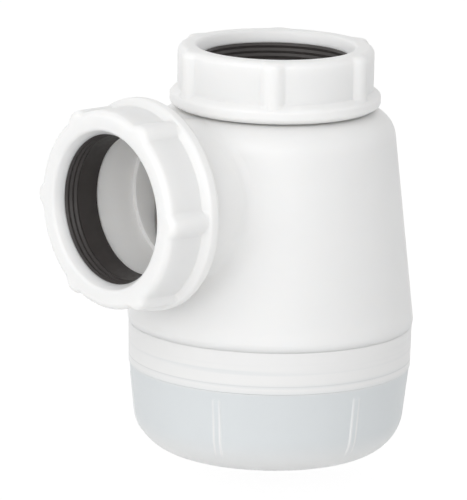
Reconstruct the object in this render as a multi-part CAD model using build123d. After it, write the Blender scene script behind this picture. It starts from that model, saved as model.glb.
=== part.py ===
from build123d import *
import os
from math import radians, tan

# Condensate bottle trap for 32 mm waste pipe, in millimetres.
# The origin is the centre of the cup's flat underside, +Z runs up the bottle's axis,
# and the outlet branch points along -X.

# Pipe sockets: the inlet and the outlet are alike.
# A socket's own frame has its zero at the nut's underside and looks out of the mouth.
pipe_diameter = 36.4
pipe_play = 0.3
socket_wall = 3.1
socket_mouth = 10.6
seat_floor = 2.2
seat_step = 1.5
seat_flare = 0.6

# Screw threads of the sockets and nuts.
thread_pitch = 4.0
thread_height = 1.1
thread_root_width = 2.0
thread_crest_width = 0.9
thread_play = 0.3
thread_sink = 0.2
thread_start = 1.5
thread_turns = 2.0
nut_thread_turns = 1.85
seam_turn = 45.0       # where turned surfaces close, clear of the threads' starts

# Nuts with six rounded lugs and a beaded flange.
nut_wall = 2.85
nut_lip = 3.0
nut_mouth_gain = 1.0
nut_mouth_round = 2.0
nut_edge_round = 1.8
flange_width = 1.95
flange_edge = 3.0
flange_slope = 1.6
flange_round = 1.2
lug_count = 6
lug_radius = 3.5
lug_rise = 1.5
lug_blend = 1.6
inlet_lug_turn = 46.4

# Rubber pipe seals.
seal_flange = 2.05
seal_play = 0.3
seal_squeeze = 0.1
seal_ridge_count = 3
seal_ridge_pitch = 1.4
seal_ridge_height = 0.3

# Bottle body.
body_top = 92.2
shoulder_gap = 1.0
shoulder_round = 7.6
shoulder_share = 0.95  # most of the shoulder's width that its rounding may take
body_wall = 2.8
lip_radius = 37.92     # where the side would meet the lip's undercut
lip_edge = 1.3         # from the lip's foot up to there
lip_round = 4.0
side_slope = 6.8
inlet_stop = 9.0
hanging_wall = 2.0

# Outlet branch.
branch_gap = 0.1       # from the bottle's top down to the branch's top
outlet_reach = 42.45
outlet_stop = 9.6
stop_thickness = 1.6
branch_wall = 1.9
branch_blend = 3.6
waterway_radius = 17.2
waterway_gap = 1.0

# Dip tube, which hangs from a collar in the inlet.
tube_bore_radius = 15.2
tube_wall = 1.6
tube_play = 0.2
collar_width = 1.05
collar_thickness = 2.0
collar_seat = 2.4
collar_play = 0.15
water_seal = 42.3

# Screw cup and its washer.
cup_height = 34.35
cup_rim_gap = 0.3
cup_rim_step = 0.32
cup_rim_round = 0.5
cup_wall = 2.4
cup_floor = 2.8
cup_taper = 6.3
cup_band_taper = 0.2
cup_band_step = 0.2
cup_bottom_round = 12.0
cup_inner_round = 8.0
ledge_height = 23.4
ledge_lap = 0.9
cup_inner_taper = 3.0
washer_thickness = 2.0
washer_lap = 1.45
washer_play = 0.3
rib_count = 6
rib_width = 2.4
rib_rise = 0.35
rib_top_gap = 2.4
rib_bottom = 5.0
rib_turn = 26.7

# Screw thread of the skirt and the cup.
skirt_wall = 2.4
cup_thread_pitch = 4.0
cup_thread_height = 1.0
cup_thread_play = 0.3
cup_thread_margin = 1.8
cup_thread_turns = 1.5

# Sizes that follow from the ones above.
bore_radius = pipe_diameter / 2 + pipe_play
thread_root_radius = bore_radius + socket_wall
thread_crest_radius = thread_root_radius + thread_height
nut_bore_radius = thread_crest_radius + thread_play
nut_radius = nut_bore_radius + nut_wall
nut_lip_floor = socket_mouth + seal_flange
nut_height = nut_lip_floor + nut_lip
nut_mouth_radius = bore_radius + nut_mouth_gain
flange_radius = nut_radius + flange_width
seat_floor_radius = bore_radius + seat_step
seat_mouth_radius = seat_floor_radius + seat_flare
inlet_base = body_top + shoulder_gap
hanging_radius = bore_radius + hanging_wall
branch_radius = bore_radius + branch_wall
outlet_height = body_top - branch_gap - branch_radius
tube_radius = tube_bore_radius + tube_wall
collar_radius = tube_radius + collar_width
inlet_floor = inlet_base - inlet_stop
collar_floor = inlet_floor - collar_thickness
tube_end = outlet_height - waterway_radius - water_seal
cup_rim_radius = lip_radius - cup_rim_step
lip_height = cup_height + cup_rim_gap
lip_crest = lip_height + lip_edge
cup_bore_radius = cup_rim_radius - cup_wall
skirt_radius = cup_bore_radius - cup_thread_play - cup_thread_height
skirt_end = ledge_height + washer_thickness
ledge_radius = skirt_radius - ledge_lap
rib_top = ledge_height - rib_top_gap
shoulder_radius = lip_radius - (body_top - lip_crest) * tan(radians(side_slope))
shoulder_fit = (shoulder_radius - thread_root_radius) * shoulder_share
shoulder_rounding = min(shoulder_round, shoulder_fit)
same_place = 0.01      # how near two places count as one
inlet_axis = Plane(origin=(0, 0, inlet_base))
outlet_axis = Plane(origin=(-outlet_reach, 0, outlet_height), x_dir=(0, 1, 0), z_dir=(-1, 0, 0))


def turned(*corners):
    """Turn a closed outline about Z, with the seam away from where threads start.

    A corner is (radius, height) or (radius, height, rounding).
    """
    points = [(corner[0], corner[1]) for corner in corners]
    rounds = [corner[2] if len(corner) > 2 else 0 for corner in corners]
    outline = FilletPolyline(*points, radius=rounds, close=True)
    return Rot(0, 0, seam_turn) * revolve(Plane.XZ * make_face(outline), Axis.Z)


def screw_ridge(root_radius, crest_radius, pitch, turns, sink):
    """One right-hand thread ridge about Z, starting on +X at height 0, sunk into its wall."""
    outward = 1 if crest_radius > root_radius else -1
    foot = root_radius - outward * sink
    half_root = thread_root_width / 2
    half_crest = thread_crest_width / 2
    section = make_face(Polyline(
        (foot, -half_root), (root_radius, -half_root), (crest_radius, -half_crest),
        (crest_radius, half_crest), (root_radius, half_root), (foot, half_root), close=True))
    path = Helix(pitch=pitch, height=pitch * turns, radius=root_radius)
    return sweep(Plane.XZ * section, path=path, is_frenet=True)


def socket_hollow(stop_depth):
    """What is cut out of a socket: the seal's flared seat and the pipe's bore down to its stop."""
    return turned(
        (0, -stop_depth), (bore_radius, -stop_depth), (bore_radius, seat_floor),
        (seat_floor_radius, seat_floor), (seat_mouth_radius, socket_mouth), (0, socket_mouth))


def socket_thread():
    ridge = screw_ridge(thread_root_radius, thread_crest_radius, thread_pitch, thread_turns, thread_sink)
    return Pos(0, 0, thread_start) * ridge


def bottle_outside():
    """The turned outside: skirt, lip, tapered side, round shoulder and the inlet's neck."""
    mouth_height = inlet_base + socket_mouth
    return turned(
        (0, skirt_end), (skirt_radius, skirt_end), (skirt_radius, lip_height),
        (cup_rim_radius, lip_height), (lip_radius, lip_crest, lip_round),
        (shoulder_radius, body_top, shoulder_rounding),
        (thread_root_radius, body_top), (thread_root_radius, mouth_height), (0, mouth_height))


def bottle_hollow():
    """The chamber inside, which leaves the inlet's socket hanging from the top."""
    skirt_bore_radius = skirt_radius - skirt_wall
    slope = tan(radians(side_slope))
    jog = lip_radius - body_wall - skirt_bore_radius
    jog_start = lip_height + body_wall / 2
    ceiling = body_top - body_wall
    side_foot = skirt_bore_radius + jog - (jog_start + jog - lip_crest) * slope
    side_top = lip_radius - body_wall - (ceiling - lip_crest) * slope
    hanging_end = collar_floor - collar_seat
    return turned(
        (0, skirt_end), (skirt_bore_radius, skirt_end), (skirt_bore_radius, jog_start),
        (side_foot, jog_start + jog), (side_top, ceiling, shoulder_rounding - body_wall),
        (hanging_radius, ceiling), (hanging_radius, hanging_end), (0, hanging_end))


def collar_recess():
    """The dip tube's seat under the pipe stop, and the hole that the tube passes through."""
    recess_radius = collar_radius + collar_play
    hole_radius = tube_radius + tube_play
    return turned(
        (0, collar_floor - collar_seat), (hole_radius, collar_floor - collar_seat),
        (hole_radius, collar_floor), (recess_radius, collar_floor),
        (recess_radius, inlet_floor), (0, inlet_floor))


def bottle_body():
    """The white moulding: bottle, branch, both sockets, the outlet's pipe stop and three threads."""
    branch = Cylinder(branch_radius, outlet_reach, align=(Align.CENTER, Align.CENTER, Align.MAX))
    body = bottle_outside() + outlet_axis * branch
    body = fillet(body.edges().filter_by(is_branch_crease), branch_blend)
    socket = Cylinder(thread_root_radius, socket_mouth, align=(Align.CENTER, Align.CENTER, Align.MIN))
    body += outlet_axis * socket
    body -= bottle_hollow()
    stop_ring = Cylinder(bore_radius + branch_wall / 2, outlet_stop + stop_thickness,
                         align=(Align.CENTER, Align.CENTER, Align.MAX))
    body += outlet_axis * stop_ring
    body -= inlet_axis * socket_hollow(inlet_stop)
    body -= collar_recess()
    body -= outlet_axis * socket_hollow(outlet_stop)
    waterway_length = outlet_reach - hanging_radius - waterway_gap
    waterway = Cylinder(waterway_radius, waterway_length, align=(Align.CENTER, Align.CENTER, Align.MAX))
    body -= outlet_axis * waterway
    body += inlet_axis * socket_thread()
    body += outlet_axis * socket_thread()
    skirt_ridge = screw_ridge(skirt_radius, skirt_radius + cup_thread_height,
                              cup_thread_pitch, cup_thread_turns, thread_sink)
    body += Pos(0, 0, skirt_end + cup_thread_margin) * skirt_ridge
    return body


def is_branch_crease(edge):
    """True for an edge where the branch's round side meets the bottle."""
    middle = edge @ 0.5
    across = (middle.Y ** 2 + (middle.Z - outlet_height) ** 2) ** 0.5
    return abs(across - branch_radius) < same_place and -outlet_reach + same_place < middle.X < 0


def nut(lug_turn):
    """One nut in its socket's frame: lugged barrel, beaded flange, lip and inner thread."""
    lugs = PolarLocations(nut_radius + lug_rise - lug_radius, lug_count, lug_turn) * Circle(lug_radius)
    outline = Circle(nut_radius) + lugs
    notches = [corner for corner in outline.vertices()
               if abs(Vector(corner).length - nut_radius) < same_place]
    outline = fillet(notches, lug_blend)
    barrel = extrude(outline, nut_height)
    barrel = fillet(barrel.faces().sort_by(Axis.Z)[-1].edges(), nut_edge_round)
    flange = turned(
        (0, 0), (flange_radius, 0, flange_round), (flange_radius, flange_edge, flange_round),
        (nut_radius, flange_edge + flange_slope), (0, flange_edge + flange_slope))
    hollow = turned(
        (0, 0), (nut_bore_radius, 0), (nut_bore_radius, nut_lip_floor),
        (nut_mouth_radius, nut_lip_floor), (nut_mouth_radius, nut_height, nut_mouth_round),
        (nut_radius, nut_height), (nut_radius, nut_height + nut_lip), (0, nut_height + nut_lip))
    body = barrel + flange - hollow
    ridge = screw_ridge(nut_bore_radius, nut_bore_radius - thread_height,
                        thread_pitch, nut_thread_turns, thread_sink)
    return body + Pos(0, 0, thread_start) * Rot(0, 0, 180) * ridge


def seal():
    """One rubber seal in its socket's frame: flange under the nut's lip and a ridged, tapered nose."""
    nose_end = seat_floor + seal_play
    throat_radius = bore_radius - seal_squeeze
    ridge_span = seal_ridge_count * seal_ridge_pitch
    ridge_foot = nut_lip_floor - ridge_span
    taper = (nut_mouth_radius - throat_radius) / (nut_lip_floor - nose_end)
    ridges = []
    for number in range(seal_ridge_count):
        valley = nut_lip_floor - number * seal_ridge_pitch
        crest = valley - seal_ridge_pitch / 2
        ridges.append((throat_radius + taper * (valley - nose_end), valley))
        ridges.append((throat_radius + taper * (crest - nose_end) - seal_ridge_height, crest))
    ridges.append((throat_radius + taper * (ridge_foot - nose_end), ridge_foot))
    return turned(
        (nut_bore_radius - seal_play, nut_lip_floor), *ridges, (throat_radius, nose_end),
        (seat_floor_radius - seal_play, nose_end), (seat_mouth_radius - seal_play, socket_mouth),
        (nut_bore_radius - seal_play, socket_mouth))


def dip_tube():
    return turned(
        (tube_bore_radius, tube_end), (tube_radius, tube_end), (tube_radius, collar_floor),
        (collar_radius, collar_floor), (collar_radius, inlet_floor), (tube_bore_radius, inlet_floor))


def cup_side_radius(height):
    """The outside radius of the cup's tapered lower side at a height, before its rounding."""
    band_foot = cup_rim_radius - cup_band_taper - cup_band_step
    return band_foot - (ledge_height - height) * tan(radians(cup_taper))


def screw_cup():
    band_foot = cup_rim_radius - cup_band_taper
    outside = turned(
        (0, 0), (cup_side_radius(0), 0, cup_bottom_round),
        (cup_side_radius(ledge_height), ledge_height), (band_foot, ledge_height + cup_band_step),
        (cup_rim_radius, cup_height, cup_rim_round), (0, cup_height))
    inner_foot = ledge_radius - (ledge_height - cup_floor) * tan(radians(cup_inner_taper))
    hollow = turned(
        (0, cup_floor), (inner_foot, cup_floor, cup_inner_round), (ledge_radius, ledge_height),
        (cup_bore_radius, ledge_height), (cup_bore_radius, cup_height), (0, cup_height))
    rib_skin = turned(
        (0, -rib_rise), (cup_side_radius(0) + rib_rise, -rib_rise, cup_bottom_round + rib_rise),
        (cup_side_radius(rib_top) + rib_rise, rib_top), (0, rib_top))
    rib_length = rib_top - rib_bottom
    bar = Box(cup_side_radius(0), rib_width, rib_length, align=(Align.CENTER, Align.CENTER, Align.MIN))
    bars = PolarLocations(cup_side_radius(0), rib_count, rib_turn) * bar
    ribs = Pos(0, 0, rib_bottom) * (Part() + bars) & rib_skin
    ridge = screw_ridge(cup_bore_radius, cup_bore_radius - cup_thread_height,
                        cup_thread_pitch, cup_thread_turns, thread_sink)
    cup = outside + ribs - hollow
    return cup + Pos(0, 0, skirt_end + cup_thread_margin) * Rot(0, 0, 180) * ridge


def cup_washer():
    return turned(
        (skirt_radius - washer_lap, ledge_height), (cup_bore_radius - washer_play, ledge_height),
        (cup_bore_radius - washer_play, skirt_end), (skirt_radius - washer_lap, skirt_end))


parts = {
    "bottle_body": bottle_body(),
    "dip_tube": dip_tube(),
    "inlet_nut": inlet_axis * nut(inlet_lug_turn),
    "inlet_seal": inlet_axis * seal(),
    "outlet_nut": outlet_axis * nut(0),
    "outlet_seal": outlet_axis * seal(),
    "screw_cup": screw_cup(),
    "cup_washer": cup_washer(),
}

os.makedirs("parts", exist_ok=True)
for name, shape in parts.items():
    export_step(shape, f"parts/{name}.step")
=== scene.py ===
import math

import bmesh
import bpy
from mathutils import Matrix, Vector


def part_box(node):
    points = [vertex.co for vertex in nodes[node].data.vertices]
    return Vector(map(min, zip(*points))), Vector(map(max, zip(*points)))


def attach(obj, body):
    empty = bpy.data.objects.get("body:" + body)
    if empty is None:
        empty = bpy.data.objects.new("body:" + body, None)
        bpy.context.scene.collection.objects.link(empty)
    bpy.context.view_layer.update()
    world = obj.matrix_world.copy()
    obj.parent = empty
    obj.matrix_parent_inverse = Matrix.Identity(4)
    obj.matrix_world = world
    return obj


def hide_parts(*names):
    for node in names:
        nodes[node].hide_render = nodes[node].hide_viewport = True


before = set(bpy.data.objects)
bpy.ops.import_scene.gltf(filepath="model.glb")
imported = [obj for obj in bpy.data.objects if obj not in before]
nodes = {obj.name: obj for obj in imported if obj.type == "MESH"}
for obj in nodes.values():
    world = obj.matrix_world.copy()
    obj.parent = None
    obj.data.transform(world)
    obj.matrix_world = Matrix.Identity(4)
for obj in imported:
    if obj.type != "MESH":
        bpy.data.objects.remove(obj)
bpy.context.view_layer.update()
print("frame loaded:", sorted(nodes))


# camera: where the photograph was taken from

photo = {
    "width": 467, "height": 500,      # pixels
    "focal": 5138.0,                  # pixels
    "pixelsPerMetre": 3800.0,         # at the bottle's axis
    "azimuth": -41.8, "elevation": 11.14, "roll": 1.29,   # degrees
    "axisPixel": (275.0, 103.2),      # where the axis meets the inlet nut's underside
    "sensor": 36.0,                   # mm on the long side
    "clip": (0.05, 20.0),             # metres
}


def addCamera():
    aim = Vector((0, 0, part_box("inlet_nut")[0].z))
    turn, rise = math.radians(photo["azimuth"]), math.radians(photo["elevation"])
    away = Vector((math.sin(turn) * math.cos(rise), -math.cos(turn) * math.cos(rise), math.sin(rise)))
    place = aim + away * photo["focal"] / photo["pixelsPerMetre"]
    level = (-away).to_track_quat("-Z", "Y")
    tilted = level.to_matrix() @ Matrix.Rotation(math.radians(photo["roll"]), 3, "Z")
    across = photo["axisPixel"][0] - photo["width"] / 2
    up = photo["height"] / 2 - photo["axisPixel"][1]
    seen = Vector((across, up, -photo["focal"])).normalized()
    swing = Vector((0, 0, -1)).rotation_difference(seen).to_matrix()
    camData = bpy.data.cameras.new("photoCamera")
    camData.sensor_width = photo["sensor"]
    camData.lens = photo["focal"] * photo["sensor"] / photo["height"]
    camData.clip_start, camData.clip_end = photo["clip"]
    cam = bpy.data.objects.new("photoCamera", camData)
    bpy.context.scene.collection.objects.link(cam)
    cam.matrix_world = Matrix.Translation(place) @ (tilted @ swing.inverted()).to_4x4()
    bpy.context.scene.camera = cam
    print("camera at", [round(v, 4) for v in place])


# helpers for shader and geometry nodes

def addNode(tree, kind, **inputs):
    node = tree.nodes.new(kind)
    for key, value in inputs.items():
        node.inputs[key.replace("_", " ")].default_value = value
    return node


def link(tree, source, socket):
    # source is another node's output or a plain number
    if hasattr(source, "is_output"):
        tree.links.new(source, socket)
    else:
        socket.default_value = source


def calc(tree, operation, *values):
    node = tree.nodes.new("ShaderNodeMath")
    node.operation = operation
    for socket, value in zip(node.inputs, values):
        link(tree, value, socket)
    return node.outputs[0]


def ramp(tree, value, zeroAt, oneAt):
    # goes smoothly from 0 to 1, upward or downward
    node = tree.nodes.new("ShaderNodeMapRange")
    node.interpolation_type = "SMOOTHSTEP"
    for socket, given in zip(node.inputs, (value, zeroAt, oneAt, 0.0, 1.0)):
        link(tree, given, socket)
    return node.outputs[0]


# materials: a look's cloud and gloss are the scales of the noise in its colour and its roughness

plasticIor = 1.49
noiseReach = (0.3, 0.7)   # where nearly all of a noise lies
noiseDetail = {"soft": 2.0, "grain": 3.0}
mixSocket = {"fac": 0, "first": 6, "second": 7, "result": 2}   # the Mix node's colour sockets


def newMaterial(name):
    mat = bpy.data.materials.new(name)
    mat.use_nodes = True
    tree = mat.node_tree
    return mat, tree, tree.nodes["Principled BSDF"]


def objectNoise(tree, scale, detail=noiseDetail["soft"]):
    coord = tree.nodes.new("ShaderNodeTexCoord")
    noise = addNode(tree, "ShaderNodeTexNoise", Scale=scale, Detail=detail)
    tree.links.new(coord.outputs["Object"], noise.inputs["Vector"])
    return noise.outputs["Fac"]


def mixColours(tree, fac, first, second):
    mix = tree.nodes.new("ShaderNodeMix")
    mix.data_type = "RGBA"
    mix.inputs[mixSocket["first"]].default_value = (*first, 1)
    mix.inputs[mixSocket["second"]].default_value = (*second, 1)
    tree.links.new(fac, mix.inputs[mixSocket["fac"]])
    return mix.outputs[mixSocket["result"]]


def paintOver(tree, under, colour, fac):
    painted = mixColours(tree, fac, colour, colour)
    tree.links.new(under, painted.node.inputs[mixSocket["first"]])
    return painted


def cloudyColour(tree, look):
    return mixColours(tree, objectNoise(tree, look["cloud"]), look["pale"], look["shade"])


def unevenGloss(tree, shader, look):
    low, high = look["rough"]
    spread = addNode(tree, "ShaderNodeMapRange", From_Min=noiseReach[0], From_Max=noiseReach[1],
                     To_Min=low, To_Max=high)
    tree.links.new(objectNoise(tree, look["gloss"]), spread.inputs["Value"])
    tree.links.new(spread.outputs["Result"], shader.inputs["Roughness"])


def grain(tree, shader, scale, strength, depth):
    bump = addNode(tree, "ShaderNodeBump", Strength=strength, Distance=depth)
    tree.links.new(objectNoise(tree, scale, noiseDetail["grain"]), bump.inputs["Height"])
    tree.links.new(bump.outputs["Normal"], shader.inputs["Normal"])


def streakNoise(tree, coord, stretch):
    mapping = addNode(tree, "ShaderNodeMapping", Scale=stretch)
    noise = addNode(tree, "ShaderNodeTexNoise", Scale=1.0, Detail=noiseDetail["soft"])
    tree.links.new(coord, mapping.inputs["Vector"])
    tree.links.new(mapping.outputs["Vector"], noise.inputs["Vector"])
    return noise.outputs["Fac"]


def makeWhitePlastic():
    look = {
        "pale": (0.888, 0.884, 0.874), "shade": (0.872, 0.868, 0.858), "cloud": 60,
        "rough": (0.34, 0.44), "gloss": 240,
        "scatter": 0.6, "scatterRadius": (1.0, 0.95, 0.9), "scatterScale": 0.006,
        "grain": (300, 0.012, 0.0002),   # scale, strength, depth in metres
    }
    mat, tree, shader = newMaterial("whitePlastic")
    tree.links.new(cloudyColour(tree, look), shader.inputs["Base Color"])
    unevenGloss(tree, shader, look)
    shader.inputs["IOR"].default_value = plasticIor
    shader.inputs["Subsurface Weight"].default_value = look["scatter"]
    shader.inputs["Subsurface Radius"].default_value = look["scatterRadius"]
    shader.inputs["Subsurface Scale"].default_value = look["scatterScale"]
    grain(tree, shader, *look["grain"])
    return mat


def makeCupPlastic():
    look = {   # heights in metres
        "pale": (0.812, 0.845, 0.86), "shade": (0.798, 0.832, 0.848), "cloud": 45,   # clear lower wall
        "toe": (0.95, 0.955, 0.952), "paintedToeLightFrom": 0.011, "paintedToeLightTo": 0.002,               # painted light from below, lighter towards the bottom
        "paintedSkirtLight": (0.965, 0.964, 0.960), "paintedSkirtLightFrom": 0.0226, "paintedSkirtLightTo": 0.0246,   # painted light from the white skirt behind the wall
        "paintedThreadShade": (0.885, 0.898, 0.902), "stretch": (9.0, 9.0, 620.0),               # painted shade of the thread behind the wall, in streaks
        "paintedThreadShadeFrom": 0.48, "paintedThreadShadeTo": 0.75,
        "line": (0.80, 0.81, 0.81), "washerShadeAt": 0.0256, "washerShadeHalf": 0.00022,           # painted shade of the washer's edge seen through the wall
        # ribEdge is the colour of the painted highlight along the rib edges
        "ribEdge": (0.985, 0.985, 0.985),
        "rough": (0.32, 0.42), "gloss": 380, "clear": 0.2,
    }
    mat, tree, shader = newMaterial("cupPlastic")
    coord = tree.nodes.new("ShaderNodeTexCoord").outputs["Object"]
    place = tree.nodes.new("ShaderNodeSeparateXYZ")
    tree.links.new(coord, place.inputs[0])
    height = place.outputs["Z"]
    colour = cloudyColour(tree, look)
    # painted light from below: the wall turns paler towards the bottom
    colour = paintOver(tree, colour, look["toe"], ramp(tree, height, look["paintedToeLightFrom"], look["paintedToeLightTo"]))
    # painted light: the band is whiter where the white skirt stands behind the wall
    paintedSkirtLightShare = ramp(tree, height, look["paintedSkirtLightFrom"], look["paintedSkirtLightTo"])
    colour = paintOver(tree, colour, look["paintedSkirtLight"], paintedSkirtLightShare)
    # painted shade in streaks where the thread stands behind the wall
    noise = streakNoise(tree, coord, look["stretch"])
    threadShadeShare = ramp(tree, noise, look["paintedThreadShadeFrom"], look["paintedThreadShadeTo"])
    colour = paintOver(tree, colour, look["paintedThreadShade"], calc(tree, "MULTIPLY", threadShadeShare, paintedSkirtLightShare))
    # a thin painted shade line where the washer's edge stands behind the wall
    offWasherShade = calc(tree, "ABSOLUTE", calc(tree, "SUBTRACT", height, look["washerShadeAt"]))
    colour = paintOver(tree, colour, look["line"], ramp(tree, offWasherShade, look["washerShadeHalf"], 0.0))
    # painted highlight along the rib edges, from the mark that the ribs tree stores
    ribGlint = tree.nodes.new("ShaderNodeAttribute")
    ribGlint.attribute_name = "ribGlint"
    colour = paintOver(tree, colour, look["ribEdge"], ribGlint.outputs["Fac"])
    tree.links.new(colour, shader.inputs["Base Color"])
    unevenGloss(tree, shader, look)
    shader.inputs["IOR"].default_value = plasticIor
    shader.inputs["Transmission Weight"].default_value = look["clear"]
    return mat


def makeRubber(name, look):
    mat, tree, shader = newMaterial(name)
    tree.links.new(cloudyColour(tree, look), shader.inputs["Base Color"])
    unevenGloss(tree, shader, look)
    grain(tree, shader, *look["grain"])
    return mat


def makeSealRubber():
    return makeRubber("sealRubber", {
        "pale": (0.042, 0.036, 0.034), "shade": (0.030, 0.026, 0.025), "cloud": 300,
        "rough": (0.42, 0.55), "gloss": 700, "grain": (900, 0.05, 0.0002),
    })


def makeWasherRubber():
    return makeRubber("washerRubber", {
        "pale": (0.80, 0.80, 0.78), "shade": (0.74, 0.74, 0.72), "cloud": 260,
        "rough": (0.5, 0.62), "gloss": 500, "grain": (600, 0.04, 0.0002),
    })


# turned pieces: a rounded section, spun about Z in its own frame, millimetres in

millimetre = 0.001
sectionSteps = {
    "arc": 9,              # least steps on a rounding
    "perMillimetre": 1.6,  # steps for each mm of its radius
    "support": 0.12,       # mm from a rounding to the guard point beside it
}
axisReach = 1e-9           # metres from the axis that count as on it


def inMetres(**sizes):
    return {name: size * millimetre for name, size in sizes.items()}


def roundedSection(corners):
    # a corner is radius and height, and a rounding where it has one
    line = []
    count = len(corners)
    for number, corner in enumerate(corners):
        here = Vector(corner[:2])
        if len(corner) < 3:
            line.append(here)
            continue
        radius = corner[2]
        back = (Vector(corners[number - 1][:2]) - here).normalized()
        onward = (Vector(corners[(number + 1) % count][:2]) - here).normalized()
        half = back.angle(onward) / 2
        centre = here + (back + onward).normalized() * radius / math.sin(half)
        start = here + back * radius / math.tan(half)
        end = here + onward * radius / math.tan(half)
        line.append(start + back * sectionSteps["support"])
        arcSteps = max(sectionSteps["arc"], round(radius * sectionSteps["perMillimetre"]))
        for step in range(arcSteps + 1):
            share = step / arcSteps
            line.append(centre + (start - centre).slerp(end - centre, share) * radius)
        line.append(end + onward * sectionSteps["support"])
    return line


def evenAngles(count):
    return [2 * math.pi * step / count for step in range(count)]


def spunMesh(name, line, angles):
    around = len(angles)
    verts, rings = [], []
    for point in line:
        radius, height = point.x * millimetre, point.y * millimetre
        if radius < axisReach:
            rings.append([len(verts)] * around)
            verts.append((0, 0, height))
            continue
        rings.append(list(range(len(verts), len(verts) + around)))
        verts += [(radius * math.cos(angle), radius * math.sin(angle), height) for angle in angles]
    faces = []
    for lower, upper in zip(rings, rings[1:] + rings[:1]):
        if lower[0] == lower[1] and upper[0] == upper[1]:
            continue
        for step in range(around):
            after = (step + 1) % around
            corners = [lower[step], lower[after], upper[after], upper[step]]
            faces.append(list(dict.fromkeys(corners)))
    mesh = bpy.data.meshes.new(name)
    mesh.from_pydata(verts, [], faces)
    work = bmesh.new()
    work.from_mesh(mesh)
    bmesh.ops.recalc_face_normals(work, faces=work.faces)
    work.to_mesh(mesh)
    work.free()
    return mesh


def smoothed(mesh, sharpAngle=38):
    mesh.polygons.foreach_set("use_smooth", [True] * len(mesh.polygons))
    mesh.set_sharp_from_angle(angle=math.radians(sharpAngle))
    mesh.update()


# geometry nodes

weldGap = 1e-6             # metres
ridgeColumn = {            # marks a ridge's points: crest, root and foot, with a sign for the side
    "crest": 1.0, "root": 2.0, "foot": 3.0, "near": 0.1,
}


def newTree(name, sizes):
    tree = bpy.data.node_groups.new(name, "GeometryNodeTree")
    tree.interface.new_socket("Geometry", in_out="INPUT", socket_type="NodeSocketGeometry")
    tree.interface.new_socket("Geometry", in_out="OUTPUT", socket_type="NodeSocketGeometry")
    for size in sizes:
        tree.interface.new_socket(size, in_out="INPUT", socket_type="NodeSocketFloat")
    tree.interface.new_socket("Material", in_out="INPUT", socket_type="NodeSocketMaterial")
    start = tree.nodes.new("NodeGroupInput")
    return tree, start


def splitPlace(tree):
    place = tree.nodes.new("GeometryNodeInputPosition")
    parts = tree.nodes.new("ShaderNodeSeparateXYZ")
    tree.links.new(place.outputs[0], parts.inputs[0])
    return parts.outputs


def joinPlace(tree, x, y, z):
    node = tree.nodes.new("ShaderNodeCombineXYZ")
    for socket, value in zip(node.inputs, (x, y, z)):
        link(tree, value, socket)
    return node.outputs[0]


def arcFromNearest(tree, x, y, count, turn, radius):
    # signed arc length to the nearest of several evenly spaced places on a circle
    angle = calc(tree, "SUBTRACT", calc(tree, "ARCTAN2", y, x), calc(tree, "RADIANS", turn))
    laps = calc(tree, "MULTIPLY", angle, calc(tree, "DIVIDE", count, 2 * math.pi))
    spare = calc(tree, "SUBTRACT", laps, calc(tree, "ROUND", laps))
    wholeWay = calc(tree, "MULTIPLY", radius, 2 * math.pi)
    return calc(tree, "MULTIPLY", calc(tree, "DIVIDE", spare, count), wholeWay)


def endTree(tree, start, geometry):
    realize = tree.nodes.new("GeometryNodeRealizeInstances")
    paint = tree.nodes.new("GeometryNodeSetMaterial")
    out = tree.nodes.new("NodeGroupOutput")
    tree.links.new(geometry, realize.inputs[0])
    tree.links.new(realize.outputs[0], paint.inputs["Geometry"])
    tree.links.new(start.outputs["Material"], paint.inputs["Material"])
    tree.links.new(paint.outputs[0], out.inputs[0])


def makeLugTree():
    # pushes rounded lugs out of a spun barrel
    tree, start = newTree("nutLugs", ["Count", "Turn", "Radius", "Cap", "Rise", "Blend", "Inner", "Outer",
                                      "Bottom", "Full"])
    size = start.outputs
    x, y, z = splitPlace(tree)
    square = calc(tree, "ADD", calc(tree, "MULTIPLY", x, x), calc(tree, "MULTIPLY", y, y))
    radius = calc(tree, "SQRT", square)
    arc = arcFromNearest(tree, x, y, size["Count"], size["Turn"], size["Radius"])
    capSquare = calc(tree, "MULTIPLY", size["Cap"], size["Cap"])
    under = calc(tree, "SUBTRACT", capSquare, calc(tree, "MULTIPLY", arc, arc))
    cap = calc(tree, "SQRT", calc(tree, "MAXIMUM", under, 0.0))
    proud = calc(tree, "ADD", calc(tree, "SUBTRACT", cap, size["Cap"]), size["Rise"])
    lift = calc(tree, "SMOOTH_MAX", proud, 0.0, size["Blend"])
    foot = calc(tree, "MINIMUM", radius, size["Radius"])
    raised = calc(tree, "MAXIMUM", radius, calc(tree, "ADD", foot, lift))
    share = calc(tree, "MULTIPLY", ramp(tree, radius, size["Inner"], size["Outer"]),
                 ramp(tree, z, size["Bottom"], size["Full"]))
    gain = calc(tree, "MULTIPLY", calc(tree, "SUBTRACT", raised, radius), share)
    scale = calc(tree, "DIVIDE", calc(tree, "ADD", radius, gain), radius)
    move = tree.nodes.new("GeometryNodeSetPosition")
    tree.links.new(size["Geometry"], move.inputs["Geometry"])
    placed = joinPlace(tree, calc(tree, "MULTIPLY", x, scale), calc(tree, "MULTIPLY", y, scale), z)
    tree.links.new(placed, move.inputs["Position"])
    endTree(tree, start, move.outputs[0])
    return tree


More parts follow.
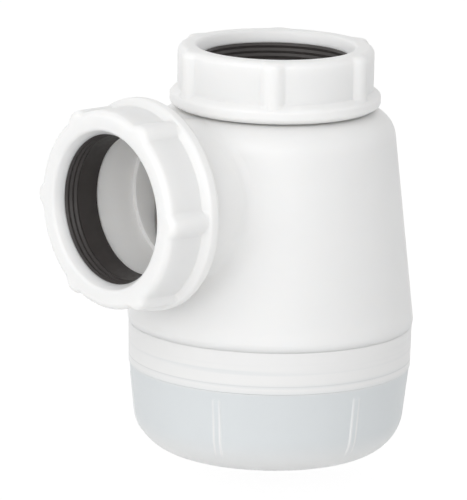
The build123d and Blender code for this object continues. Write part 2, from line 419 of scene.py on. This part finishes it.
def makeRibTree():
    # raises low flat-topped ribs on the outside of a spun wall, and stores a painted highlight along their
    # edges
    tree, start = newTree("gripRibs", ["Count", "Turn", "Radius", "Width", "Edge", "Rise", "Bottom", "Foot",
                                       "Top", "Line", "Full", "Faint"])
    size = start.outputs
    x, y, z = splitPlace(tree)
    arc = calc(tree, "ABSOLUTE", arcFromNearest(tree, x, y, size["Count"], size["Turn"], size["Radius"]))
    half = calc(tree, "MULTIPLY", size["Width"], 0.5)
    across = ramp(tree, arc, calc(tree, "ADD", half, size["Edge"]), half)
    above = ramp(tree, z, size["Bottom"], calc(tree, "ADD", size["Bottom"], size["Foot"]))
    below = ramp(tree, z, size["Top"], calc(tree, "SUBTRACT", size["Top"], size["Edge"]))
    along = calc(tree, "MULTIPLY", above, below)
    normal = tree.nodes.new("GeometryNodeInputNormal")
    facing = tree.nodes.new("ShaderNodeVectorMath")
    facing.operation = "DOT_PRODUCT"
    tree.links.new(normal.outputs[0], facing.inputs[0])
    tree.links.new(joinPlace(tree, x, y, 0.0), facing.inputs[1])
    outside = calc(tree, "GREATER_THAN", facing.outputs["Value"], 0.0)
    spot = calc(tree, "MULTIPLY", calc(tree, "MULTIPLY", across, outside), along)
    push = tree.nodes.new("ShaderNodeVectorMath")
    push.operation = "SCALE"
    tree.links.new(normal.outputs[0], push.inputs[0])
    tree.links.new(calc(tree, "MULTIPLY", spot, size["Rise"]), push.inputs["Scale"])
    # the painted edge highlights are faint at the top and full lower down
    offEdge = calc(tree, "ABSOLUTE", calc(tree, "SUBTRACT", arc, half))
    edgeGlint = calc(tree, "MULTIPLY", ramp(tree, offEdge, size["Line"], 0.0), along)
    gain = calc(tree, "SUBTRACT", 1.0, size["Faint"])
    strength = calc(tree, "MULTIPLY_ADD", ramp(tree, z, size["Top"], size["Full"]), gain, size["Faint"])
    edgeGlint = calc(tree, "MULTIPLY", edgeGlint, strength)
    mark = tree.nodes.new("GeometryNodeStoreNamedAttribute")
    mark.data_type = "FLOAT"
    mark.domain = "POINT"
    mark.inputs["Name"].default_value = "ribGlint"
    tree.links.new(size["Geometry"], mark.inputs["Geometry"])
    tree.links.new(calc(tree, "MULTIPLY", edgeGlint, outside), mark.inputs["Value"])
    move = tree.nodes.new("GeometryNodeSetPosition")
    tree.links.new(mark.outputs[0], move.inputs["Geometry"])
    tree.links.new(push.outputs[0], move.inputs["Offset"])
    endTree(tree, start, move.outputs[0])
    return tree


def makeThreadTree():
    # bends a grid into one screw ridge: along the grid is along the helix, across it is round the section
    tree, start = newTree("screwThread", ["Pitch", "Turns", "Start", "Phase", "Root", "Crest", "Sink",
                                          "RootWidth", "CrestWidth", "Fade"])
    size = start.outputs
    x, y, _ = splitPlace(tree)
    along = calc(tree, "MULTIPLY", x, size["Turns"])
    fadeIn = ramp(tree, along, 0.0, size["Fade"])
    fadeOut = ramp(tree, along, size["Turns"], calc(tree, "SUBTRACT", size["Turns"], size["Fade"]))
    fade = calc(tree, "MULTIPLY", fadeIn, fadeOut)
    column = calc(tree, "ABSOLUTE", y)
    crestHere = calc(tree, "COMPARE", column, ridgeColumn["crest"], ridgeColumn["near"])
    footHere = calc(tree, "COMPARE", column, ridgeColumn["foot"], ridgeColumn["near"])
    rise = calc(tree, "MULTIPLY", calc(tree, "SUBTRACT", size["Crest"], size["Root"]), crestHere)
    dip = calc(tree, "MULTIPLY", size["Sink"], footHere)
    reach = calc(tree, "MULTIPLY", calc(tree, "SUBTRACT", rise, dip), fade)
    radius = calc(tree, "ADD", size["Root"], reach)
    slim = calc(tree, "MULTIPLY", calc(tree, "SUBTRACT", size["CrestWidth"], size["RootWidth"]), crestHere)
    width = calc(tree, "MULTIPLY", calc(tree, "ADD", size["RootWidth"], slim), fade)
    side = calc(tree, "MULTIPLY", calc(tree, "SIGN", y), 0.5)
    height = calc(tree, "ADD", calc(tree, "MULTIPLY", along, size["Pitch"]), size["Start"])
    height = calc(tree, "ADD", height, calc(tree, "MULTIPLY", width, side))
    phase = calc(tree, "RADIANS", size["Phase"])
    angle = calc(tree, "ADD", calc(tree, "MULTIPLY", along, 2 * math.pi), phase)
    move = tree.nodes.new("GeometryNodeSetPosition")
    tree.links.new(size["Geometry"], move.inputs["Geometry"])
    placed = joinPlace(tree, calc(tree, "MULTIPLY", radius, calc(tree, "COSINE", angle)),
                       calc(tree, "MULTIPLY", radius, calc(tree, "SINE", angle)), height)
    tree.links.new(placed, move.inputs["Position"])
    weld = tree.nodes.new("GeometryNodeMergeByDistance")
    weld.inputs["Distance"].default_value = weldGap
    tree.links.new(move.outputs[0], weld.inputs["Geometry"])
    endTree(tree, start, weld.outputs[0])
    return tree


def runTree(name, mesh, tree, material, sizes):
    raw = bpy.data.objects.new(name, mesh)
    bpy.context.scene.collection.objects.link(raw)
    worker = raw.modifiers.new(tree.name, "NODES")
    worker.node_group = tree
    for item in tree.interface.items_tree:
        if item.in_out == "INPUT" and item.name in sizes:
            worker[item.identifier] = sizes[item.name]
        if item.in_out == "INPUT" and item.name == "Material":
            worker[item.identifier] = material
    done = raw.evaluated_get(bpy.context.evaluated_depsgraph_get())
    made = bpy.data.meshes.new_from_object(done)
    made.name = name
    raw.modifiers.remove(worker)
    raw.data = made
    return raw


def settle(piece, place, material, body, node=None):
    # puts a finished piece's place in its mesh, then hands it to its body
    piece.data.transform(place)
    piece.data.materials.clear()
    piece.data.materials.append(material)
    smoothed(piece.data)
    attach(piece, body)
    if node:
        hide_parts(node)


def dress(name, mat):
    mesh = nodes[name].data
    mesh.materials.clear()
    mesh.materials.append(mat)


whitePlastic = makeWhitePlastic()
cupPlastic = makeCupPlastic()
sealRubber = makeSealRubber()
washerRubber = makeWasherRubber()
for name in ("bottle_body", "dip_tube"):
    dress(name, whitePlastic)
dress("cup_washer", washerRubber)
print("materials made")

lugTree = makeLugTree()
ribTree = makeRibTree()
threadTree = makeThreadTree()

# the two sockets' frames: zero at the underside of the nut's solid, Z out of the mouth
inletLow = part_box("inlet_nut")[0]
outletLow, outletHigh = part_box("outlet_nut")
inletPlace = Matrix.Translation((0, 0, inletLow.z))
outletPlace = Matrix.Translation((outletHigh.x, 0, (outletLow.z + outletHigh.z) / 2)) @ Matrix(
    ((0, 0, -1, 0), (1, 0, 0, 0), (0, -1, 0, 0), (0, 0, 0, 1)))


# screw threads inside the nuts and the cup

thread = {
    "pitch": 4.0, "rootWidth": 2.0, "crestWidth": 0.9, "sink": 0.2,   # mm
    "fade": 0.08,          # turns at each end
    "phase": 180.0,        # degrees
    "steps": 220,
}


def ridgeGrid(name):
    # across: foot, root, crest, crest, root, foot and back to the first foot
    near = [-ridgeColumn["foot"], -ridgeColumn["root"], -ridgeColumn["crest"]]
    far = [ridgeColumn["crest"], ridgeColumn["root"], ridgeColumn["foot"]]
    columns = near + far + near[:1]
    steps = thread["steps"]
    verts = [(step / steps, column, 0) for step in range(steps + 1) for column in columns]
    wide = len(columns)
    faces = [(row * wide + c, row * wide + c + 1, (row + 1) * wide + c + 1, (row + 1) * wide + c)
             for row in range(steps) for c in range(wide - 1)]
    mesh = bpy.data.meshes.new(name)
    mesh.from_pydata(verts, [], faces)
    return mesh


def makeThread(name, piece, place, material, body):
    ridge = runTree(name, ridgeGrid(name), threadTree, material, {
        "Turns": piece["threadTurns"], "Phase": thread["phase"], "Fade": thread["fade"],
        **inMetres(Pitch=thread["pitch"], Start=piece["threadStart"], Root=piece["bore"],
                   Crest=piece["bore"] - piece["threadHeight"], Sink=-thread["sink"],
                   RootWidth=thread["rootWidth"], CrestWidth=thread["crestWidth"])})
    settle(ridge, place, material, body)


# nuts

nut = {
    "radius": 25.85, "height": 15.65, "edgeRound": 1.8, "lip": 3.0,
    "mouth": 19.5, "mouthTop": 20.9, "mouthTopRound": 1.2, "mouthFoot": 0.25,
    "bore": 23.0, "footRadius": 26.3, "footDrop": 0.45, "footRound": 0.25,
    "flangeRadius": 27.8, "flangeEdge": 3.0, "flangeSlope": 1.6, "flangeRound": 1.2, "slopeRound": 0.5,
    "lugCount": 6, "lugCap": 3.5, "lugRise": 1.5, "lugBlend": 1.6, "lugFade": 1.2, "around": 480,
    "inletTurn": 46.4, "outletTurn": 0.0,
    "threadTurns": 1.85, "threadStart": 1.5, "threadHeight": 1.1,
}


def makeNut(name, node, place, turn):
    lipFloor = nut["height"] - nut["lip"]
    line = roundedSection([
        (nut["bore"], -nut["footDrop"]), (nut["footRadius"], -nut["footDrop"], nut["footRound"]),
        (nut["footRadius"], 0), (nut["flangeRadius"], 0, nut["flangeRound"]),
        (nut["flangeRadius"], nut["flangeEdge"], nut["flangeRound"]),
        (nut["radius"], nut["flangeEdge"] + nut["flangeSlope"], nut["slopeRound"]),
        (nut["radius"], nut["height"], nut["edgeRound"]),
        (nut["mouthTop"], nut["height"], nut["mouthTopRound"]),
        (nut["mouth"], lipFloor + nut["mouthFoot"], nut["mouthFoot"] / 2), (nut["mouth"], lipFloor),
        (nut["bore"], lipFloor),
    ])
    barrel = spunMesh(name, line, evenAngles(nut["around"]))
    faceStart = nut["radius"] - nut["edgeRound"]
    piece = runTree(name, barrel, lugTree, whitePlastic, {
        "Count": float(nut["lugCount"]), "Turn": turn,
        **inMetres(Radius=nut["radius"], Cap=nut["lugCap"], Rise=nut["lugRise"], Blend=nut["lugBlend"],
                   Inner=faceStart - nut["lugFade"], Outer=faceStart,
                   Bottom=nut["flangeRound"], Full=nut["flangeEdge"])})
    settle(piece, place, whitePlastic, node, node)
    makeThread(name + "Thread", nut, place, whitePlastic, node)
    print("nut made:", name)


makeNut("inletNut", "inlet_nut", inletPlace, nut["inletTurn"])
makeNut("outletNut", "outlet_nut", outletPlace, nut["outletTurn"])


# seals

seal = {
    "flange": 22.7, "top": 12.65, "shoulder": 10.6, "noseEnd": 2.5, "noseFoot": 19.7, "noseTop": 20.3,
    "mouth": 19.5, "throat": 18.4, "edgeRound": 0.25, "noseRound": 0.3,
    "ridges": 3, "ridgePitch": 1.4, "ridgeHeight": 0.3, "crestRound": 0.12, "valleyRound": 0.1,
    "around": 360,
}


def makeSeal(name, node, place):
    taper = (seal["mouth"] - seal["throat"]) / (seal["top"] - seal["noseEnd"])
    edge, nose = seal["edgeRound"], seal["noseRound"]
    corners = [(seal["flange"], seal["top"], edge), (seal["mouth"], seal["top"], edge)]
    for number in range(seal["ridges"]):
        crest = seal["top"] - (number + 0.5) * seal["ridgePitch"]
        valley = crest - seal["ridgePitch"] / 2
        wall = seal["throat"] + taper * (crest - seal["noseEnd"])
        corners.append((wall - seal["ridgeHeight"], crest, seal["crestRound"]))
        corners.append((seal["throat"] + taper * (valley - seal["noseEnd"]), valley, seal["valleyRound"]))
    corners += [(seal["throat"], seal["noseEnd"], nose), (seal["noseFoot"], seal["noseEnd"], nose),
                (seal["noseTop"], seal["shoulder"]), (seal["flange"], seal["shoulder"], edge)]
    mesh = spunMesh(name, roundedSection(corners), evenAngles(seal["around"]))
    piece = bpy.data.objects.new(name, mesh)
    bpy.context.scene.collection.objects.link(piece)
    settle(piece, place, sealRubber, node, node)
    print("seal made:", name)


makeSeal("inletSeal", "inlet_seal", inletPlace)
makeSeal("outletSeal", "outlet_seal", outletPlace)


# cleaning cup

cup = {
    "rim": 37.6, "height": 34.62, "rimRound": 0.04, "bandFoot": 37.4, "ledge": 23.4,
    "step": 0.2, "stepRound": 0.15,
    "sideTop": 37.2, "taper": 6.3, "bottomRound": 12.0,   # taper in degrees
    "bore": 35.2, "ledgeInner": 33.0, "edgeRound": 0.3, "floor": 2.8, "innerTaper": 3.0, "innerRound": 8.0,
    "runGap": 0.6, "longRun": 10.0,
    "ribs": 6, "ribTurn": 26.7, "ribWidth": 1.85, "ribEdge": 0.4, "ribRise": 0.22,
    "ribTop": 21.2, "ribBottom": 4.5, "ribFoot": 1.6,
    "ribGlint": 0.6, "glintFull": 11.0, "glintFaint": 0.5,   # painted highlights along the rib edges
    "fineSteps": 44, "coarseSteps": 24,
    "threadTurns": 1.5, "threadStart": 27.2, "threadHeight": 1.0,
}


def fillRuns(line):
    # extra points on the long upright runs, so that the ribs have faces to bend
    filled = []
    for here, after in zip(line, line[1:] + line[:1]):
        filled.append(here)
        run = abs(after.y - here.y)
        if run > cup["longRun"]:
            pieces = int(run / cup["runGap"])
            filled += [here.lerp(after, step / pieces) for step in range(1, pieces)]
    return filled


def ribAngles():
    # fine steps across each rib, coarse ones from rib to rib
    lap = 2 * math.pi / cup["ribs"]
    reach = (cup["ribWidth"] / 2 + 2 * cup["ribEdge"]) / cup["sideTop"]
    angles = []
    for number in range(cup["ribs"]):
        middle = math.radians(cup["ribTurn"]) + number * lap
        angles += [middle + reach * (2 * step / cup["fineSteps"] - 1) for step in range(cup["fineSteps"])]
        gap = (lap - 2 * reach) / cup["coarseSteps"]
        angles += [middle + reach + gap * step for step in range(cup["coarseSteps"])]
    return angles


def makeCup():
    toe = cup["sideTop"] - cup["ledge"] * math.tan(math.radians(cup["taper"]))
    innerToe = cup["ledgeInner"] - (cup["ledge"] - cup["floor"]) * math.tan(math.radians(cup["innerTaper"]))
    line = roundedSection([
        (0, 0), (toe, 0, cup["bottomRound"]), (cup["sideTop"], cup["ledge"], cup["stepRound"]),
        (cup["bandFoot"], cup["ledge"] + cup["step"], cup["stepRound"]),
        (cup["rim"], cup["height"], cup["rimRound"]), (cup["bore"], cup["height"], cup["edgeRound"]),
        (cup["bore"], cup["ledge"]), (cup["ledgeInner"], cup["ledge"], cup["edgeRound"]),
        (innerToe, cup["floor"], cup["innerRound"]), (0, cup["floor"]),
    ])
    wall = spunMesh("screwCup", fillRuns(line), ribAngles())
    piece = runTree("screwCup", wall, ribTree, cupPlastic, {
        "Count": float(cup["ribs"]), "Turn": cup["ribTurn"], "Faint": cup["glintFaint"],
        **inMetres(Radius=cup["sideTop"], Width=cup["ribWidth"], Edge=cup["ribEdge"], Rise=cup["ribRise"],
                   Bottom=cup["ribBottom"], Foot=cup["ribFoot"], Top=cup["ribTop"],
                   Line=cup["ribGlint"], Full=cup["glintFull"])})
    here = Matrix.Identity(4)
    settle(piece, here, cupPlastic, "screw_cup", "screw_cup")
    makeThread("screwCupThread", cup, here, cupPlastic, "screw_cup")
    print("cup made")


makeCup()


# floor and light

white = (1, 1, 1, 1)
lampAim = (0, 0, 0.06)
lamps = {   # place in metres, width in metres, power in watts
    "keyLamp": ((-1.815, -0.36, 1.1), 2.2, 14.5),
    "fillLamp": ((-1.0, -1.5, 0.5), 1.4, 9.0),
    "leftLamp": ((-1.5, 1.2, 0.5), 1.4, 2.3),
    "backLamp": ((0.4, 1.5, 1.2), 1.2, 2.0),
}


def seenPlainly(tree):
    # 1 where the camera sees a surface straight on, in a gloss or through the cup
    path = tree.nodes.new("ShaderNodeLightPath").outputs
    through = calc(tree, "MAXIMUM", path["Is Glossy Ray"], path["Is Transmission Ray"])
    return calc(tree, "MAXIMUM", path["Is Camera Ray"], through)


def addFloor():
    # lies low enough for the cup to come down when it is unscrewed
    look = {"reach": 6.0, "level": -0.009, "paper": (0.9, 0.9, 0.9, 1), "glow": 1.06, "glowShare": 0.9}
    reach, level = look["reach"], look["level"]
    corners = ((-reach, -reach), (reach, -reach), (reach, reach), (-reach, reach))
    mesh = bpy.data.meshes.new("floor")
    mesh.from_pydata([(x, y, level) for x, y in corners], [], [(0, 1, 2, 3)])
    floor = bpy.data.objects.new("floor", mesh)
    bpy.context.scene.collection.objects.link(floor)
    mat = bpy.data.materials.new("floorPaper")
    mat.use_nodes = True
    tree = mat.node_tree
    tree.nodes.clear()
    out = tree.nodes.new("ShaderNodeOutputMaterial")
    paper = addNode(tree, "ShaderNodeBsdfDiffuse", Color=look["paper"])
    glow = addNode(tree, "ShaderNodeEmission", Color=white, Strength=look["glow"])
    mix = tree.nodes.new("ShaderNodeMixShader")
    tree.links.new(calc(tree, "MULTIPLY", seenPlainly(tree), look["glowShare"]), mix.inputs[0])
    tree.links.new(paper.outputs[0], mix.inputs[1])
    tree.links.new(glow.outputs[0], mix.inputs[2])
    tree.links.new(mix.outputs[0], out.inputs["Surface"])
    mesh.materials.append(mat)


def addLamps():
    for name, (place, width, power) in lamps.items():
        data = bpy.data.lights.new(name, "AREA")
        data.shape = "DISK"
        data.size = width
        data.energy = power
        lamp = bpy.data.objects.new(name, data)
        bpy.context.scene.collection.objects.link(lamp)
        lamp.location = place
        lamp.rotation_euler = (Vector(lampAim) - Vector(place)).to_track_quat("-Z", "Y").to_euler()


def addWorld():
    look = {"light": 0.6, "seen": 1.0}
    world = bpy.data.worlds.new("studio")
    bpy.context.scene.world = world
    world.use_nodes = True
    tree = world.node_tree
    back = tree.nodes["Background"]
    back.inputs["Color"].default_value = white
    extra = calc(tree, "MULTIPLY", seenPlainly(tree), look["seen"] - look["light"])
    tree.links.new(calc(tree, "ADD", extra, look["light"]), back.inputs["Strength"])


addCamera()
addFloor()
addLamps()
addWorld()
bpy.context.scene.view_settings.view_transform = "Standard"
print("floor and light made")
